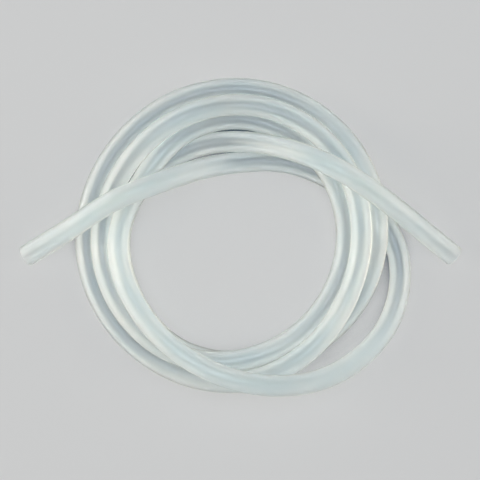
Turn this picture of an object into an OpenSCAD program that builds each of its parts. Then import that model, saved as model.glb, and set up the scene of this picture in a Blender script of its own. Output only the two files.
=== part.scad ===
// A length of soft silicone tubing, wound by hand into a loose flat coil of about four turns.
// Units are mm. The coil lies on the floor z = 0, its axis along z, its two free ends left and right.

/* [Tube] */
// outside diameter of the tube
tube_od = 8; // [6:0.1:9.6]
// bore of the tube
tube_bore = 5; // [3:0.1:5.6]

/* [Coil] */
// mean radius of the wound bundle, measured to lane zero
coil_radius = 47; // [40:0.5:56.5]
// air left between two strands that lie against each other
strand_gap = 0.2; // [0.1:0.05:0.6]

/* [Free ends] */
// how far the left tip lies outside coil_radius
left_reach = 34; // [28.5:0.5:41]
// how far the right tip lies outside coil_radius
right_reach = 34; // [28.5:0.5:41]
// length of straight tube at each tip
straight_end = 12; // [7:0.5:13]

/* [Hidden] */
silicone = [0.86, 0.9, 0.9];

// One lane or one level is a tube and the air beside it.
pitch = tube_od + strand_gap;
// Stations stand every thirty degrees of the clock, so twelve to a turn.
clock_step = 30;
// Facets round the tube, and lengths of tube between two stations.
sides = 16;
steps = 3;
// The sweep's skin lies this far inside the walls of the round ends.
skin = 0.04;
// Lap of the sweep into a round end, and as much straight sweep beyond it.
lap = 1;

// Each turn lists [lane, level] from twelve o'clock, clockwise. Lanes count outwards from
// coil_radius. Levels count up from a strand lying on the floor.
// Lead-in from the left end, over the bundle at ten o'clock and down inside it.
lead_in = [[-1.04, 2.35], [-2.11, 0.96]];
// First turn: under the bundle at two o'clock, wide on the right, over it all at the bottom.
turn_1 = [
    [-2.32, 0], [-1.74, 0], [-0.69, 0], [1.42, 0], [2.23, 0.1], [1.84, 1.26],
    [0.84, 2.31], [0.2, 2.2], [-0.07, 1.64], [-0.1, 1.44], [-0.62, 1.02], [-0.3, 0.82]
];
// Second turn: inner strand on the right, then under the first turn on the left.
turn_2 = [
    [-0.27, 0], [-0.53, 0.32], [-0.73, 1.15], [-0.82, 0.15], [-0.77, 0.1], [-0.51, 0.72],
    [-0.09, 1.06], [0.44, 1.1], [0.63, 0.86], [0.67, 0.67], [0.44, 1.11], [0.37, 1.61]
];
// Third turn: rides in the valley on the right, outermost on the left.
turn_3 = [
    [0.36, 0.98], [0.25, 1.06], [0.04, 1.78], [-0.18, 1.61], [-0.08, 1.23], [0.39, 1.39],
    [0.95, 0.78], [1.14, 0.24], [1.34, 0], [1.4, 0], [1.26, 0], [1.2, 0]
];
// Fourth turn: outermost at the top, then inwards beneath the rest to the inner edge.
turn_4 = [
    [1.12, 0], [0.98, 0.09], [0.78, 0.83], [0.58, 0.95], [0.42, 0.01], [0.22, 0],
    [0.03, 0], [0.18, 0], [-0.07, 0], [-0.16, 0], [-0.61, 0], [-1.05, 0]
];
// Lead-out: up and over the whole bundle at two o'clock to the right end.
lead_out = [[-1.36, 0.47], [-1.14, 1.83], [-0.02, 3.12]];
// Free ends as [clock, lane, level], each inside its tip.
left_shoulder = [[-86, 1.83, 1.12], [-75, 0.42, 2.15]];
right_shoulder = [[84, 2.06, 1.15]];
left_tip_clock = -95;
right_tip_clock = 95;

function at_clock(clock, radius, z) = [radius * sin(clock), radius * cos(clock), z];
function station(clock, lane, level) =
    at_clock(clock, coil_radius + lane * pitch, tube_od / 2 + level * pitch);
function turn_points(turn, first) =
    [for (i = [0:len(turn) - 1]) station((first + i) * clock_step, turn[i][0], turn[i][1])];
function end_points(list) = [for (p = list) station(p[0], p[1], p[2])];

function unit(v) = v / norm(v);
// The tip rests its lower rim on the floor: the axis there stands at the rim's drop.
function tip_point(clock, reach, inner) =
    let (flat = at_clock(clock, coil_radius + reach, tube_od / 2), d = unit(inner - flat))
    [flat[0], flat[1], tube_od / 2 * norm([d[0], d[1]])];

coiled = concat(
    end_points(left_shoulder),
    turn_points(lead_in, -2),
    turn_points(turn_1, 0),
    turn_points(turn_2, 12),
    turn_points(turn_3, 24),
    turn_points(turn_4, 36),
    turn_points(lead_out, 48),
    end_points(right_shoulder)
);
last = len(coiled) - 1;
left_tip = tip_point(left_tip_clock, left_reach, coiled[0]);
right_tip = tip_point(right_tip_clock, right_reach, coiled[last]);
left_axis = unit(coiled[0] - left_tip);
right_axis = unit(coiled[last] - right_tip);
left_start = left_tip + (straight_end + lap) * left_axis;
right_start = right_tip + (straight_end + lap) * right_axis;

// A smooth cubic curve through the stations: its control points, then its points.
route = concat([left_start], coiled, [right_start]);
count = len(route);
function lifted(p) = [p[0], p[1], max(p[2], tube_od / 2)];
function inner_control(i) = lifted((8 * route[i] - route[i - 1] - route[i + 1]) / 6);
function end_control(start, axis, gap, next) = (6 * start - 2 * next + 2 * gap * axis) / 4;
left_gap = norm(route[1] - route[0]);
right_gap = norm(route[count - 1] - route[count - 2]);
left_next = inner_control(1);
right_next = inner_control(count - 2);
control = concat(
    [left_next - 2 * left_gap * left_axis],
    [end_control(left_start, left_axis, left_gap, left_next)],
    [for (i = [1:count - 2]) inner_control(i)],
    [end_control(right_start, right_axis, right_gap, right_next)],
    [right_next - 2 * right_gap * right_axis]
);
function blend(i, t) =
    ((1 - t) ^ 3 * control[i]
    + (3 * t ^ 3 - 6 * t ^ 2 + 4) * control[i + 1]
    + (-3 * t ^ 3 + 3 * t ^ 2 + 3 * t + 1) * control[i + 2]
    + t ^ 3 * control[i + 3]) / 6;
function slope(i, t) =
    -(1 - t) ^ 2 * control[i]
    + (3 * t ^ 2 - 4 * t) * control[i + 1]
    + (-3 * t ^ 2 + 2 * t + 1) * control[i + 2]
    + t ^ 2 * control[i + 3];

// Every ring of the sweep as [centre, heading], a straight lap first and last.
rings = concat(
    [[left_start - 2 * lap * left_axis, left_axis]],
    [for (i = [0:count - 2]) for (k = [0:steps - 1]) [blend(i, k / steps), unit(slope(i, k / steps))]],
    [[right_start, -right_axis]],
    [[right_start - 2 * lap * right_axis, -right_axis]]
);
function ring_points(ring, radius) =
    let (side = unit(cross([0, 0, 1], ring[1])), up = cross(ring[1], side))
    [for (j = [0:sides - 1])
        ring[0] + radius * (cos(360 * j / sides) * side + sin(360 * j / sides) * up)];

// The tube between its two round ends, hollow right through.
module swept_tube() {
    n = len(rings);
    outer_radius = tube_od / 2 - skin;
    inner_radius = (tube_bore / 2 + skin) / cos(180 / sides);
    outer = [for (r = rings) each ring_points(r, outer_radius)];
    inner = [for (r = rings) each ring_points(r, inner_radius)];
    base = n * sides;
    outer_faces = [for (i = [0:n - 2]) for (j = [0:sides - 1])
        let (a = i * sides + j, b = i * sides + (j + 1) % sides)
        each [[a, a + sides, b], [b, a + sides, b + sides]]];
    inner_faces = [for (i = [0:n - 2]) for (j = [0:sides - 1])
        let (a = base + i * sides + j, b = base + i * sides + (j + 1) % sides)
        each [[a, b, a + sides], [b, b + sides, a + sides]]];
    left_face = [for (j = [0:sides - 1])
        let (a = j, b = (j + 1) % sides)
        each [[a, b, base + a], [b, base + b, base + a]]];
    far = (n - 1) * sides;
    right_face = [for (j = [0:sides - 1])
        let (a = far + j, b = far + (j + 1) % sides)
        each [[a, base + a, b], [b, base + a, base + b]]];
    polyhedron(
        points = concat(outer, inner),
        faces = concat(outer_faces, inner_faces, left_face, right_face),
        convexity = 20
    );
}

// One cut end: a true round tube with a true round bore, from its tip inwards.
module round_end(tip, axis) {
    turn = atan2(axis[1], axis[0]);
    lean = acos(axis[2]);
    translate(tip)
        rotate([0, lean, turn])
            difference() {
                cylinder(h = straight_end, d = tube_od, $fn = 96);
                translate([0, 0, -1])
                    cylinder(h = straight_end + 2, d = tube_bore, $fn = 96);
            }
}

module tubing() {
    color(silicone) {
        swept_tube();
        round_end(left_tip, left_axis);
        round_end(right_tip, right_axis);
    }
}

tubing();
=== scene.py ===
"""Loose coil of soft silicone tubing: the tube, its milky rubber, the floor, lamps and camera."""
import math

import bpy
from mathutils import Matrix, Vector


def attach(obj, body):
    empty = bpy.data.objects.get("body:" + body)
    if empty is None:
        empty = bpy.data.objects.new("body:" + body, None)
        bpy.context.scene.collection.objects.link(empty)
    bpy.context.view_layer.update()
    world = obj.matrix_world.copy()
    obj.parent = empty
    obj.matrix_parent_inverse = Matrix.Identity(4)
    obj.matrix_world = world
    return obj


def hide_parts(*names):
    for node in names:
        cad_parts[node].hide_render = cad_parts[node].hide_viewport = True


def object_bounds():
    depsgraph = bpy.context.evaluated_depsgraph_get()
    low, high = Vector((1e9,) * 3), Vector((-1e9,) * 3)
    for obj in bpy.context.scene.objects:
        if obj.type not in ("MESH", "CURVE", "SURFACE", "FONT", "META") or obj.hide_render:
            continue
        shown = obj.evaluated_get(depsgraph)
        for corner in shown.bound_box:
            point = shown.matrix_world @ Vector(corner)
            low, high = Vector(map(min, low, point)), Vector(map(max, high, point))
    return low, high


bl_info = {
    "name": "Silicone Tubing Coil",
    "version": (1, 0, 0),
    "blender": (4, 5, 0),
    "location": "3D View > Sidebar > Tubing",
    "description": "Builds a hand-wound coil of silicone tubing with its material and a plain studio",
    "category": "Add Mesh",
}

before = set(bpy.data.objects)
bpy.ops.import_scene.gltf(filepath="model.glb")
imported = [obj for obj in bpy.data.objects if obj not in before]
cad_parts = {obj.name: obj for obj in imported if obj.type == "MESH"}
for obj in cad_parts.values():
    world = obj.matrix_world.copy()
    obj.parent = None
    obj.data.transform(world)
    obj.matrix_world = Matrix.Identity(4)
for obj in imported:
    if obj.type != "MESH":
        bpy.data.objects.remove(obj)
CAD_BOX = [list(corner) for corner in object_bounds()]
NODE = "tubing"
BODY = "root"
MM = 0.001
# Degrees of the clock between two stations, and points of the line drawn from each to the next.
CLOCK_STEP = 30
SPAN_POINTS = 16

# Each turn lists (lane, level) from twelve o'clock, clockwise, a station every thirty degrees.
# Lanes count outwards from the coil's radius, levels upwards from a strand lying on the floor.
LEAD_IN = [(-1.04, 2.35), (-2.11, 0.96)]
TURN_1 = [
    (-2.32, 0), (-1.74, 0), (-0.69, 0), (1.42, 0), (2.23, 0.1), (1.84, 1.26),
    (0.84, 2.31), (0.2, 2.2), (-0.07, 1.64), (-0.1, 1.44), (-0.62, 1.02), (-0.3, 0.82),
]
TURN_2 = [
    (-0.27, 0), (-0.53, 0.32), (-0.73, 1.15), (-0.82, 0.15), (-0.77, 0.1), (-0.51, 0.72),
    (-0.09, 1.06), (0.44, 1.1), (0.63, 0.86), (0.67, 0.67), (0.44, 1.11), (0.37, 1.61),
]
TURN_3 = [
    (0.36, 0.98), (0.25, 1.06), (0.04, 1.78), (-0.18, 1.61), (-0.08, 1.23), (0.39, 1.39),
    (0.95, 0.78), (1.14, 0.24), (1.34, 0), (1.4, 0), (1.26, 0), (1.2, 0),
]
TURN_4 = [
    (1.12, 0), (0.98, 0.09), (0.78, 0.83), (0.58, 0.95), (0.42, 0.01), (0.22, 0),
    (0.03, 0), (0.18, 0), (-0.07, 0), (-0.16, 0), (-0.61, 0), (-1.05, 0),
]
LEAD_OUT = [(-1.36, 0.47), (-1.14, 1.83), (-0.02, 3.12)]
# The free ends as (clock, lane, level), each just inside its tip.
LEFT_SHOULDER = [(-86, 1.83, 1.12), (-75, 0.42, 2.15)]
RIGHT_SHOULDER = [(84, 2.06, 1.15)]
LEFT_TIP_CLOCK = -95
RIGHT_TIP_CLOCK = 95

# Rounding of the cut rims: steps round it, and the least angle between faces that counts as a rim.
RIM_STEPS = 2
RIM_ANGLE = math.radians(60)

# Stretch along the tube of its lines, bands and clouds: each is that many times as long as it is wide.
LINE_RUN, BAND_RUN, CLOUD_RUN = 110, 45, 1.6
# Finer and finer marks in each, and how strong each of them is beside the coarser one before it.
LINE_DETAIL, BAND_DETAIL, CLOUD_DETAIL = 3, 1, 3
MARK_ROUGHNESS = 0.55
# Noise keeps mostly to this middle range, which the marks spread from none to full.
NOISE_RANGE = (0.25, 0.75)
# How far the bands, rather than the draw lines, streak the view through the tube.
BAND_SHARE = 0.5
# Refractive index of silicone rubber.
SILICONE_IOR = 1.41

# Open sky over a spot of floor, as a share, at which its painted shade is full and at which it has none.
FULL_PAINTED_SHADE, NO_PAINTED_SHADE = 0.08, 0.47
# Rays that look for that sky.
SKY_SAMPLES = 12
# Matt card has next to no gloss.
CARD_ROUGHNESS = 0.9
# Half the width of the floor, in metres.
FLOOR_HALF = 3
# The lamps, in metres: place and size. The side ones stand low, so that they graze the strands.
SIDE_OUT, SIDE_UP = 0.95, 0.34
SIDE_SIZE = (0.4, 1.2)
TOP_PLACE = (0, 0.1, 1.2)
TOP_SIZE = (0.8, 0.8)
# How far the camera sees, in metres.
FAR_CLIP = 20


def linear(code):
    """A hex sRGB colour as the linear values that a shader's socket takes."""
    parts = [int(code[i:i + 2], 16) / 255 for i in (1, 3, 5)]
    return tuple(c / 12.92 if c <= 0.04045 else ((c + 0.055) / 1.055) ** 2.4 for c in parts)


class TubeSettings(bpy.types.PropertyGroup):
    """Sizes of the tube and of its coil."""
    outside: bpy.props.FloatProperty(
        name="Outside Diameter", description="Outside diameter of the tube",
        default=8 * MM, unit="LENGTH")
    bore: bpy.props.FloatProperty(
        name="Bore", description="Diameter of the hole through the tube",
        default=5 * MM, unit="LENGTH")
    coil_radius: bpy.props.FloatProperty(
        name="Coil Radius", description="Mean radius of the wound bundle",
        default=47 * MM, unit="LENGTH")
    strand_gap: bpy.props.FloatProperty(
        name="Strand Gap", description="Air between two strands that lie against each other",
        default=0.2 * MM, unit="LENGTH")
    left_reach: bpy.props.FloatProperty(
        name="Left Reach", description="How far the left tip lies outside the coil's radius",
        default=34 * MM, unit="LENGTH")
    right_reach: bpy.props.FloatProperty(
        name="Right Reach", description="How far the right tip lies outside the coil's radius",
        default=34 * MM, unit="LENGTH")
    straight_end: bpy.props.FloatProperty(
        name="Straight End", description="Straight tube at each tip",
        default=13 * MM, unit="LENGTH")
    ring_spacing: bpy.props.FloatProperty(
        name="Ring Spacing", description="Distance between two rings of the tube's mesh",
        default=2.2 * MM, unit="LENGTH")
    facets: bpy.props.IntProperty(
        name="Facets", description="Faces round the tube", default=64)
    cut_edge: bpy.props.FloatProperty(
        name="Cut Edge", description="Rounding of the two cut rims",
        default=0.15 * MM, unit="LENGTH")


class SiliconeSettings(bpy.types.PropertyGroup):
    """Looks of the translucent silicone rubber."""
    milk: bpy.props.FloatVectorProperty(
        name="Milk", description="Colour of the clouded rubber",
        default=linear("#F5F8F7"), size=3, subtype="COLOR")
    haze: bpy.props.FloatVectorProperty(
        name="Haze", description="Colour of its thinner clouds",
        default=linear("#E5EFF3"), size=3, subtype="COLOR")
    depth_tint: bpy.props.FloatVectorProperty(
        name="Depth Tint", description="Colour that the light takes on its way through deep rubber",
        default=linear("#FFF9E8"), size=3, subtype="COLOR")
    depth_density: bpy.props.FloatProperty(
        name="Depth Density", description="How soon the light takes that colour", default=50)
    scatter: bpy.props.FloatProperty(
        name="Scatter", description="How far light spreads beneath the skin",
        default=4 * MM, unit="LENGTH")
    clear_facing: bpy.props.FloatProperty(
        name="Clear Facing", description="Share of light passed unscattered where the skin faces the eye",
        default=0.96, subtype="FACTOR")
    clear_edge: bpy.props.FloatProperty(
        name="Clear Edge", description="The same share near the edge, where the wall is deep",
        default=0.4, subtype="FACTOR")
    clear_rim: bpy.props.FloatProperty(
        name="Clear Rim", description="Further share along the very edge, which the eye meets at a slant",
        default=0.85, subtype="FACTOR")
    wall_start: bpy.props.FloatProperty(
        name="Wall Start", description="Slant of the skin at which the wall begins to cloud the view",
        default=0.05, subtype="FACTOR")
    wall_end: bpy.props.FloatProperty(
        name="Wall End", description="Slant of the skin at which the wall clouds it most",
        default=0.4, subtype="FACTOR")
    rim_start: bpy.props.FloatProperty(
        name="Rim Start", description="Slant of the skin at which the very edge begins",
        default=0.5, subtype="FACTOR")
    rim_end: bpy.props.FloatProperty(
        name="Rim End", description="Slant of the skin at which it has its full share",
        default=0.62, subtype="FACTOR")
    streaks: bpy.props.FloatProperty(
        name="Streaks", description="How far the draw lines and bands lower those shares",
        default=0.1, subtype="FACTOR")
    draw_line: bpy.props.FloatProperty(
        name="Draw Line", description="Width of the lines that the extruder's die leaves along the skin",
        default=0.7 * MM, unit="LENGTH")
    wall_band: bpy.props.FloatProperty(
        name="Wall Band", description="Width of the broader bands of thick and thin wall",
        default=3.2 * MM, unit="LENGTH")
    cloud: bpy.props.FloatProperty(
        name="Cloud", description="Width of the clouds in the rubber",
        default=14 * MM, unit="LENGTH")
    smooth: bpy.props.FloatProperty(
        name="Smooth", description="Roughness between the draw lines", default=0.33, subtype="FACTOR")
    rough: bpy.props.FloatProperty(
        name="Rough", description="Roughness on the draw lines", default=0.43, subtype="FACTOR")
    relief: bpy.props.FloatProperty(
        name="Relief", description="Height of the draw lines", default=0.02 * MM, unit="LENGTH")
    relief_share: bpy.props.FloatProperty(
        name="Relief Share", description="How strongly that height tilts the skin",
        default=0.5, subtype="FACTOR")
    lamp_pass: bpy.props.FloatProperty(
        name="Lamp Pass", description="Share of a lamp's light that the tube lets through",
        default=0.85, subtype="FACTOR")


class StageSettings(bpy.types.PropertyGroup):
    """Floor, lamps and camera."""
    floor: bpy.props.FloatVectorProperty(
        name="Floor", description="Colour of the floor",
        default=linear("#CECECE"), size=3, subtype="COLOR")
    floor_even: bpy.props.FloatProperty(
        name="Floor Even", description="Share of the open floor that shows plain, without shadow",
        default=0.5, subtype="FACTOR")
    # Painted shade: the dark bluish colour that the floor emits under and between strands, in place of
    # real shade.
    painted_nook_shade: bpy.props.FloatVectorProperty(
        name="Nook", description="Colour of the floor in the deepest shade under the tube",
        default=linear("#173449"), size=3, subtype="COLOR")
    # How far up a strand still adds to that painted shade.
    painted_shade_reach: bpy.props.FloatProperty(
        name="Nook Reach", description="How far from the floor a strand still shades it",
        default=18 * MM, unit="LENGTH")
    left_power: bpy.props.FloatProperty(
        name="Left Lamp", description="Power of the lamp on the left", default=7.6, unit="POWER")
    right_power: bpy.props.FloatProperty(
        name="Right Lamp", description="Power of the lamp on the right", default=4.3, unit="POWER")
    top_power: bpy.props.FloatProperty(
        name="Top Lamp", description="Power of the lamp overhead", default=8.4, unit="POWER")
    side_tint: bpy.props.FloatVectorProperty(
        name="Side Tint", description="Colour of the two side lamps",
        default=linear("#FFF3E2"), size=3, subtype="COLOR")
    top_tint: bpy.props.FloatVectorProperty(
        name="Top Tint", description="Colour of the lamp overhead",
        default=linear("#ECF5FF"), size=3, subtype="COLOR")
    ambient: bpy.props.FloatProperty(
        name="Ambient", description="Strength of the even light around", default=0.18)
    ambient_through: bpy.props.FloatProperty(
        name="Ambient Through", description="Further strength of that light as the tube passes it",
        default=0.06)
    ambient_tint: bpy.props.FloatVectorProperty(
        name="Ambient Tint", description="Colour of the even light around",
        default=(0.84, 0.95, 1), size=3, subtype="COLOR")
    view_width: bpy.props.FloatProperty(
        name="View Width", description="Width of the camera's view at the coil",
        default=180.3 * MM, unit="LENGTH")
    view_drop: bpy.props.FloatProperty(
        name="View Drop", description="How far the view's middle lies below the coil's axis",
        default=1.13 * MM, unit="LENGTH")
    lens: bpy.props.FloatProperty(
        name="Lens", description="Focal length in millimetres", default=420)


def at_clock(clock, radius, height):
    angle = math.radians(clock)
    return Vector((radius * math.sin(angle), radius * math.cos(angle), height))


def stations(tube):
    """Every point that the tube passes, from the left free end to the right one."""
    pitch = tube.outside + tube.strand_gap

    def station(clock, lane, level):
        return at_clock(clock, tube.coil_radius + lane * pitch, tube.outside / 2 + level * pitch)

    wound = LEAD_IN + TURN_1 + TURN_2 + TURN_3 + TURN_4 + LEAD_OUT
    first = -len(LEAD_IN)
    points = [station(*place) for place in LEFT_SHOULDER]
    points += [station((first + i) * CLOCK_STEP, *place) for i, place in enumerate(wound)]
    points += [station(*place) for place in RIGHT_SHOULDER]
    return points


def tip(tube, clock, reach, inner):
    """A tip whose lower rim rests on the floor, and the direction from it into the tube."""
    flat = at_clock(clock, reach, tube.outside / 2)
    heading = (inner - flat).normalized()
    place = Vector((flat.x, flat.y, tube.outside / 2 * heading.xy.length))
    return place, (inner - place).normalized()


def centreline(tube):
    """The smooth line of the whole tube, from tip to tip: a cubic B-spline through the stations."""
    inside = stations(tube)
    left_tip, left_axis = tip(tube, LEFT_TIP_CLOCK, tube.coil_radius + tube.left_reach, inside[0])
    right_tip, right_axis = tip(tube, RIGHT_TIP_CLOCK, tube.coil_radius + tube.right_reach, inside[-1])
    left_start = left_tip + tube.straight_end * left_axis
    right_start = right_tip + tube.straight_end * right_axis
    route = [left_start] + inside + [right_start]
    control = []
    for before, here, after in zip(route, route[1:], route[2:]):
        point = (8 * here - before - after) / 6
        point.z = max(point.z, tube.outside / 2)
        control.append(point)

    def end_controls(start, axis, gap, following):
        return following - 2 * gap * axis, (6 * start - 2 * following + 2 * gap * axis) / 4

    left_gap = (route[1] - route[0]).length
    right_gap = (route[-1] - route[-2]).length
    outer, end = end_controls(left_start, left_axis, left_gap, control[0])
    last_outer, last_end = end_controls(right_start, right_axis, right_gap, control[-1])
    control = [outer, end] + control + [last_end, last_outer]
    line = [left_tip.lerp(left_start, i / SPAN_POINTS) for i in range(SPAN_POINTS)]
    for a, b, c, d in zip(control, control[1:], control[2:], control[3:]):
        for i in range(SPAN_POINTS):
            t = i / SPAN_POINTS
            line.append((
                (1 - t) ** 3 * a + (3 * t ** 3 - 6 * t ** 2 + 4) * b
                + (-3 * t ** 3 + 3 * t ** 2 + 3 * t + 1) * c + t ** 3 * d) / 6)
    line += [right_start.lerp(right_tip, i / SPAN_POINTS) for i in range(SPAN_POINTS + 1)]
    return line


def add_node(tree, kind, settings=None, inputs=None):
    """A node of that kind, with its settings, and its inputs as values or as links from sockets."""
    node = tree.nodes.new(kind)
    for name, value in (settings or {}).items():
        setattr(node, name, value)
    for name, value in (inputs or {}).items():
        socket = node.inputs[name]
        if isinstance(value, bpy.types.NodeSocket):
            tree.links.new(value, socket)
        else:
            socket.default_value = value
    return node


def new_material(name):
    material = bpy.data.materials.new(name)
    material.use_nodes = True
    material.node_tree.nodes.clear()
    return material, material.node_tree


def translucent_silicone(look):
    """Extruded, cured silicone rubber, softly clouded.

    To the eye it is milky: bluish where one strand lies alone, creamy where light has gone through
    several. It shows what lies beneath through the middle of a strand, clouds over towards the sides,
    where the wall is deep, and has a thin darker outline. What it shows beneath and along that outline
    is the floor's painted dark bluish shade, which also gives part of a lone strand's blue. The die
    leaves faint lines along it, and the skin is satin. The lines are drawn coarser than the real ones,
    which are too fine to show.
    """
    material, tree = new_material("translucent silicone rubber")
    place = add_node(tree, "ShaderNodeAttribute", {"attribute_name": "tube_place"}).outputs["Vector"]

    def marks(width, run, detail):
        """Marks that are that wide across the tube and run times as long along it, from 0 to 1."""
        stretched = add_node(tree, "ShaderNodeMapping", None,
                             {"Vector": place, "Scale": (1, 1, 1 / run)})
        cloudy = add_node(tree, "ShaderNodeTexNoise", None, {
            "Vector": stretched.outputs[0], "Scale": 1 / width, "Detail": detail,
            "Roughness": MARK_ROUGHNESS})
        return add_node(tree, "ShaderNodeMapRange", None, {
            "Value": cloudy.outputs["Fac"], "From Min": NOISE_RANGE[0], "From Max": NOISE_RANGE[1],
        }).outputs[0]

    draw_lines = marks(look.draw_line, LINE_RUN, LINE_DETAIL)
    wall_bands = marks(look.wall_band, BAND_RUN, BAND_DETAIL)
    clouds = marks(look.cloud, CLOUD_RUN, CLOUD_DETAIL)
    colour = add_node(tree, "ShaderNodeMix", {"data_type": "RGBA"}, {
        "Factor": clouds, 6: (*look.haze, 1), 7: (*look.milk, 1)})

    # How much passes unscattered: by the slant of the skin, less along lines and bands.
    slant = add_node(tree, "ShaderNodeLayerWeight", None, {"Blend": 0.5}).outputs["Facing"]
    wall = add_node(tree, "ShaderNodeMapRange", {"interpolation_type": "SMOOTHSTEP"}, {
        "Value": slant, "From Min": look.wall_start, "From Max": look.wall_end,
        "To Min": look.clear_facing, "To Max": look.clear_edge})
    rim = add_node(tree, "ShaderNodeMapRange", None, {
        "Value": slant, "From Min": look.rim_start, "From Max": look.rim_end, "To Max": look.clear_rim})
    across = add_node(tree, "ShaderNodeMath", {"operation": "ADD"}, {
        0: wall.outputs[0], 1: rim.outputs[0]})
    streaks = add_node(tree, "ShaderNodeMix", None,
                       {"Factor": BAND_SHARE, "A": draw_lines, "B": wall_bands})
    clear = add_node(tree, "ShaderNodeMath", {"operation": "MULTIPLY_ADD", "use_clamp": True}, {
        0: streaks.outputs[0], 1: -look.streaks, 2: across.outputs[0]})

    satin = add_node(tree, "ShaderNodeMapRange", None, {
        "Value": draw_lines, "To Min": look.smooth, "To Max": look.rough})
    relief = add_node(tree, "ShaderNodeBump", None, {
        "Strength": look.relief_share, "Distance": look.relief, "Height": draw_lines})
    rubber = add_node(tree, "ShaderNodeBsdfPrincipled", None, {
        "Base Color": colour.outputs[2],
        "Roughness": satin.outputs[0],
        "IOR": SILICONE_IOR,
        "Transmission Weight": clear.outputs[0],
        "Subsurface Weight": 1.0,
        "Subsurface Radius": (1.0, 1.0, 1.0),
        "Subsurface Scale": look.scatter,
        "Normal": relief.outputs[0],
    })

    # Lamps shine on through a strand to the next one, as scattered light does in the real rubber.
    ray = add_node(tree, "ShaderNodeLightPath")
    passing = add_node(tree, "ShaderNodeMath", {"operation": "MULTIPLY"}, {
        0: ray.outputs["Is Shadow Ray"], 1: look.lamp_pass})
    through = add_node(tree, "ShaderNodeBsdfTransparent")
    surface = add_node(tree, "ShaderNodeMixShader", None, {
        0: passing.outputs[0], 1: rubber.outputs[0], 2: through.outputs[0]})
    depth = add_node(tree, "ShaderNodeVolumeAbsorption", None,
                     {"Color": (*look.depth_tint, 1), "Density": look.depth_density})
    add_node(tree, "ShaderNodeOutputMaterial", None,
             {"Surface": surface.outputs[0], "Volume": depth.outputs[0]})
    return material


def card_with_painted_shade(stage):
    """Matt card under the coil: plain and pale, with soft shadows and a painted dark shade under
    the strands.

    Eye, gloss and the view through the tube all meet its plain colour, mixed with the lit card by
    floor_even so that the coil's shadow stays. Where strands crowd over the floor and leave little sky
    open, they meet a painted shade instead: a dark bluish colour that the card emits, in place of real
    shade, and that the tube shows through its middle and at its outline.
    """
    material, tree = new_material("matt studio card")
    card = add_node(tree, "ShaderNodeBsdfPrincipled", None,
                    {"Base Color": (*stage.floor, 1), "Roughness": CARD_ROUGHNESS})
    # Painted shade: where strands leave little sky open over the floor, the card's emitted colour turns
    # to the painted shade colour.
    painted_nook_shade = add_node(tree, "ShaderNodeAmbientOcclusion", {"samples": SKY_SAMPLES},
                    {"Distance": stage.painted_shade_reach})
    open_sky = add_node(tree, "ShaderNodeMapRange", None, {
        "Value": painted_nook_shade.outputs["AO"], "From Min": FULL_PAINTED_SHADE, "From Max": NO_PAINTED_SHADE})
    card_or_painted_shade = add_node(tree, "ShaderNodeMix", {"data_type": "RGBA"}, {
        "Factor": open_sky.outputs[0], 6: (*stage.painted_nook_shade, 1), 7: (*stage.floor, 1)})
    plain = add_node(tree, "ShaderNodeEmission", None, {"Color": card_or_painted_shade.outputs[2]})
    # Where the painted shade is full, eye, gloss and the view through the tube see only that emitted
    # colour.
    even = add_node(tree, "ShaderNodeMapRange", None, {
        "Value": open_sky.outputs[0], "To Min": 1.0, "To Max": stage.floor_even})
    ray = add_node(tree, "ShaderNodeLightPath")
    direct = add_node(tree, "ShaderNodeMath", {"operation": "MAXIMUM"}, {
        0: ray.outputs["Is Camera Ray"], 1: ray.outputs["Is Glossy Ray"]})
    seen = add_node(tree, "ShaderNodeMath", {"operation": "MAXIMUM"}, {
        0: direct.outputs[0], 1: ray.outputs["Is Transmission Ray"]})
    share = add_node(tree, "ShaderNodeMath", {"operation": "MULTIPLY"}, {
        0: seen.outputs[0], 1: even.outputs[0]})
    surface = add_node(tree, "ShaderNodeMixShader", None, {
        0: share.outputs[0], 1: card.outputs[0], 2: plain.outputs[0]})
    add_node(tree, "ShaderNodeOutputMaterial", None, {"Surface": surface.outputs[0]})
    return material


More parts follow.
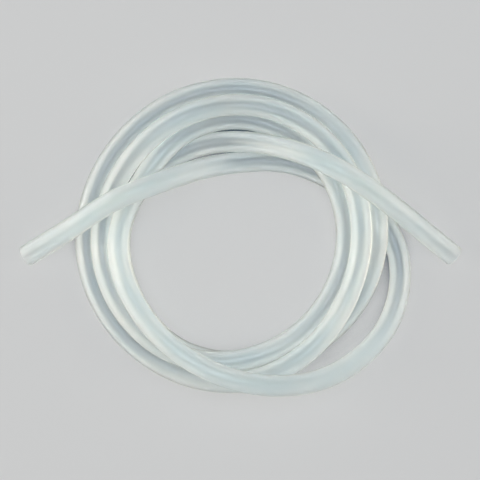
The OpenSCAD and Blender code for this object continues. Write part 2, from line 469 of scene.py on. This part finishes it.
def sweep_tree():
    """Geometry nodes that sweep a round skin along a line and note each point's unwound place."""
    tree = bpy.data.node_groups.new("Tube Sweep", "GeometryNodeTree")
    face = tree.interface
    face.new_socket("Line", in_out="INPUT", socket_type="NodeSocketGeometry")
    for name, kind in (("Outside Diameter", "NodeSocketFloat"), ("Ring Spacing", "NodeSocketFloat"),
                       ("Facets", "NodeSocketInt"), ("Material", "NodeSocketMaterial")):
        face.new_socket(name, in_out="INPUT", socket_type=kind)
    face.new_socket("Tube", in_out="OUTPUT", socket_type="NodeSocketGeometry")
    source = add_node(tree, "NodeGroupInput").outputs
    curve = add_node(tree, "GeometryNodeMeshToCurve", None, {"Mesh": source["Line"]})
    even = add_node(tree, "GeometryNodeResampleCurve", {"mode": "LENGTH"},
                    {"Curve": curve.outputs[0], "Length": source["Ring Spacing"]})
    upright = add_node(tree, "GeometryNodeSetCurveNormal", {"mode": "Z_UP"}, {"Curve": even.outputs[0]})
    run = add_node(tree, "GeometryNodeSplineParameter")
    along = add_node(tree, "GeometryNodeCaptureAttribute", {"domain": "POINT"},
                     {"Geometry": upright.outputs[0]})
    along.capture_items.new("FLOAT", "Along")
    tree.links.new(run.outputs["Length"], along.inputs["Along"])
    radius = add_node(tree, "ShaderNodeMath", {"operation": "DIVIDE"}, {
        0: source["Outside Diameter"], 1: 2})
    ring = add_node(tree, "GeometryNodeCurvePrimitiveCircle", {"mode": "RADIUS"},
                    {"Resolution": source["Facets"], "Radius": radius.outputs[0]})
    around = add_node(tree, "GeometryNodeCaptureAttribute", {"domain": "POINT"},
                      {"Geometry": ring.outputs[0]})
    around.capture_items.new("VECTOR", "Around")
    spot = add_node(tree, "GeometryNodeInputPosition")
    tree.links.new(spot.outputs[0], around.inputs["Around"])
    skin = add_node(tree, "GeometryNodeCurveToMesh", None,
                    {"Curve": along.outputs[0], "Profile Curve": around.outputs[0]})
    split = add_node(tree, "ShaderNodeSeparateXYZ", None, {"Vector": around.outputs["Around"]})
    unwound = add_node(tree, "ShaderNodeCombineXYZ", None, {
        "X": split.outputs["X"], "Y": split.outputs["Y"], "Z": along.outputs["Along"]})
    noted = add_node(tree, "GeometryNodeStoreNamedAttribute",
                     {"data_type": "FLOAT_VECTOR", "domain": "POINT"},
                     {"Geometry": skin.outputs[0], "Name": "tube_place", "Value": unwound.outputs[0]})
    smooth = add_node(tree, "GeometryNodeSetShadeSmooth", None, {"Geometry": noted.outputs[0]})
    real = add_node(tree, "GeometryNodeRealizeInstances", None, {"Geometry": smooth.outputs[0]})
    painted = add_node(tree, "GeometryNodeSetMaterial", None,
                       {"Geometry": real.outputs[0], "Material": source["Material"]})
    add_node(tree, "NodeGroupOutput", None, {"Tube": painted.outputs[0]})
    return tree


def link_object(name, data):
    made = bpy.data.objects.new(name, data)
    bpy.context.scene.collection.objects.link(made)
    return made


def set_inputs(modifier, values):
    """Sets a geometry nodes modifier's named inputs by their sockets' identifiers."""
    for item in modifier.node_group.interface.items_tree:
        if item.item_type == "SOCKET" and item.in_out == "INPUT" and item.name in values:
            modifier[item.identifier] = values[item.name]


def bake_modifiers(source, name):
    """The evaluated object as a plain mesh of its own; the source is removed."""
    graph = bpy.context.evaluated_depsgraph_get()
    mesh = bpy.data.meshes.new_from_object(source.evaluated_get(graph))
    mesh.name = name
    bpy.data.objects.remove(source)
    return link_object(name, mesh)


class OBJECT_OT_tubing_coil(bpy.types.Operator):
    """Builds the tube, swept along its coil, hollow from tip to tip"""
    bl_idname = "object.tubing_coil"
    bl_label = "Tubing Coil"

    def execute(self, context):
        tube = context.scene.tube_settings
        line = centreline(tube)
        wire = bpy.data.meshes.new("line")
        wire.from_pydata(line, [(i, i + 1) for i in range(len(line) - 1)], [])
        draft = link_object("draft", wire)
        sweep = draft.modifiers.new("sweep", "NODES")
        sweep.node_group = sweep_tree()
        set_inputs(sweep, {
            "Outside Diameter": tube.outside,
            "Ring Spacing": tube.ring_spacing,
            "Facets": tube.facets,
            "Material": translucent_silicone(context.scene.silicone_settings),
        })
        wall = draft.modifiers.new("wall", "SOLIDIFY")
        wall.thickness = (tube.outside - tube.bore) / 2
        wall.offset = -1
        rim = draft.modifiers.new("cut rim", "BEVEL")
        rim.width = tube.cut_edge
        rim.segments = RIM_STEPS
        rim.limit_method = "ANGLE"
        rim.angle_limit = RIM_ANGLE
        coil = bake_modifiers(draft, "tubing_skin")
        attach(coil, BODY)
        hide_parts(NODE)
        return {"FINISHED"}


class SCENE_OT_tubing_stage(bpy.types.Operator):
    """Lays the floor, hangs the lamps and sets the camera straight above"""
    bl_idname = "scene.tubing_stage"
    bl_label = "Studio"

    def execute(self, context):
        stage = context.scene.stage_settings
        self.camera(context, stage)
        self.floor(stage)
        self.lamp("left lamp", (-SIDE_OUT, 0, SIDE_UP), SIDE_SIZE, stage.left_power, stage.side_tint)
        self.lamp("right lamp", (SIDE_OUT, 0, SIDE_UP), SIDE_SIZE, stage.right_power, stage.side_tint)
        top = self.lamp("top lamp", TOP_PLACE, TOP_SIZE, stage.top_power, stage.top_tint)
        top.visible_glossy = False  # its reflection would lie as a white stripe along every strand
        self.world(stage)
        context.scene.view_settings.view_transform = "Standard"
        return {"FINISHED"}

    def camera(self, context, stage):
        eye = bpy.data.cameras.new("camera")
        eye.lens = stage.lens
        eye.clip_end = FAR_CLIP
        camera = link_object("camera", eye)
        distance = stage.view_width * stage.lens / eye.sensor_width
        middle = (CAD_BOX[0][2] + CAD_BOX[1][2]) / 2
        camera.location = (0, -stage.view_drop, middle + distance)
        context.scene.camera = camera

    def floor(self, stage):
        mesh = bpy.data.meshes.new("floor")
        corners = [(-1, -1), (1, -1), (1, 1), (-1, 1)]
        mesh.from_pydata([(x * FLOOR_HALF, y * FLOOR_HALF, 0) for x, y in corners], [], [(0, 1, 2, 3)])
        mesh.materials.append(card_with_painted_shade(stage))
        link_object("floor", mesh)

    def lamp(self, name, place, size, power, tint):
        light = bpy.data.lights.new(name, "AREA")
        light.shape = "RECTANGLE"
        light.size, light.size_y = size
        light.energy = power
        light.color = tint
        lamp = link_object(name, light)
        lamp.location = place
        lamp.rotation_euler = (-Vector(place)).to_track_quat("-Z", "Y").to_euler()
        return lamp

    def world(self, stage):
        world = bpy.data.worlds.new("studio")
        world.use_nodes = True
        tree = world.node_tree
        background = tree.nodes["Background"]
        background.inputs["Color"].default_value = (*stage.ambient_tint, 1)
        ray = add_node(tree, "ShaderNodeLightPath")
        seen = add_node(tree, "ShaderNodeMath", {"operation": "MULTIPLY_ADD"}, {
            0: ray.outputs["Is Transmission Ray"], 1: stage.ambient_through, 2: stage.ambient})
        tree.links.new(seen.outputs[0], background.inputs["Strength"])
        bpy.context.scene.world = world


class VIEW3D_PT_tubing(bpy.types.Panel):
    """Lists the settings and the steps"""
    bl_label = "Tubing Coil"
    bl_idname = "VIEW3D_PT_tubing"
    bl_space_type = "VIEW_3D"
    bl_region_type = "UI"
    bl_category = "Tubing"

    def draw(self, context):
        for group, step in (("tube_settings", "object.tubing_coil"), ("silicone_settings", None),
                            ("stage_settings", "scene.tubing_stage")):
            settings = getattr(context.scene, group)
            box = self.layout.box()
            for name in settings.__annotations__:
                box.prop(settings, name)
            if step:
                box.operator(step)


SETTINGS = {
    "tube_settings": TubeSettings,
    "silicone_settings": SiliconeSettings,
    "stage_settings": StageSettings,
}
CLASSES = (*SETTINGS.values(), OBJECT_OT_tubing_coil, SCENE_OT_tubing_stage, VIEW3D_PT_tubing)


def register():
    for cls in CLASSES:
        bpy.utils.register_class(cls)
    for name, cls in SETTINGS.items():
        setattr(bpy.types.Scene, name, bpy.props.PointerProperty(type=cls))


def unregister():
    for name in SETTINGS:
        delattr(bpy.types.Scene, name)
    for cls in reversed(CLASSES):
        bpy.utils.unregister_class(cls)


def main():
    register()
    bpy.ops.scene.tubing_stage()
    bpy.ops.object.tubing_coil()


if __name__ == "__main__":
    main()
